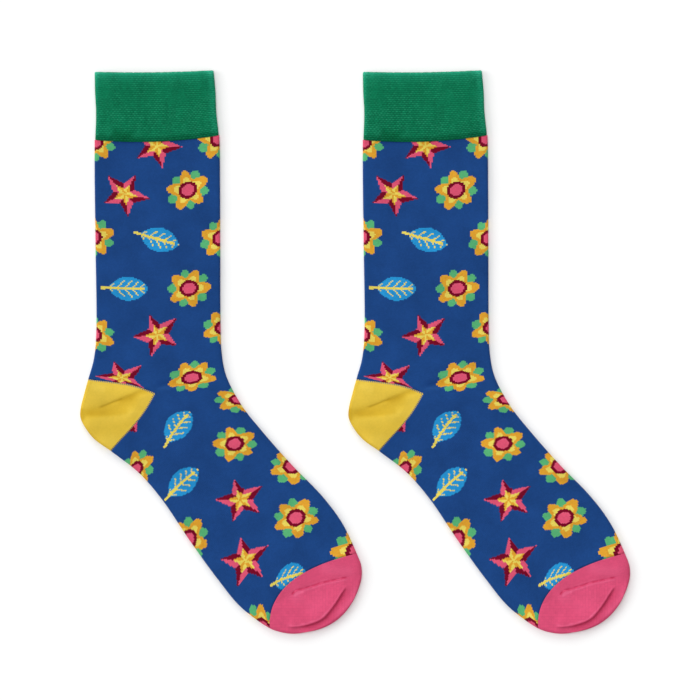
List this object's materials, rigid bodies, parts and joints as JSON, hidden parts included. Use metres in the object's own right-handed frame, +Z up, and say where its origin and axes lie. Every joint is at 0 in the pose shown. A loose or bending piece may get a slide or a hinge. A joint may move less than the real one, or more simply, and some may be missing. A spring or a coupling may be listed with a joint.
{
  "type": "pair of knitted crew socks laid flat",
  "caption": "Pair of knitted crew socks lying flat side by side, with turned cuffs, pocket heels and closed toes; a soft garment that slips over the foot.",
  "frame": {"origin": "on the surface the socks lie on, under the middle of the pair's box", "axes": "+Z up off the surface, +Y along the legs towards the cuffs, +X from the first sock to the second, from heel towards instep"},
  "size_m": [0.3856, 0.394, 0.005],
  "materials": {
    "cuff_knit": "matte green elasticated knit, fine horizontal courses",
    "patterned_knit": "matte blue plain knit with small coloured motifs",
    "heel_knit": "matte yellow plain knit",
    "toe_knit": "matte pink plain knit with one linked seam"
  },
  "bodies": {
    "root": {"left_cuff": "cuff_knit", "left_leg_and_foot": "patterned_knit", "left_heel": "heel_knit", "left_toe": "toe_knit", "right_cuff": "cuff_knit", "right_leg_and_foot": "patterned_knit", "right_heel": "heel_knit", "right_toe": "toe_knit"}
  },
  "joints": []
}
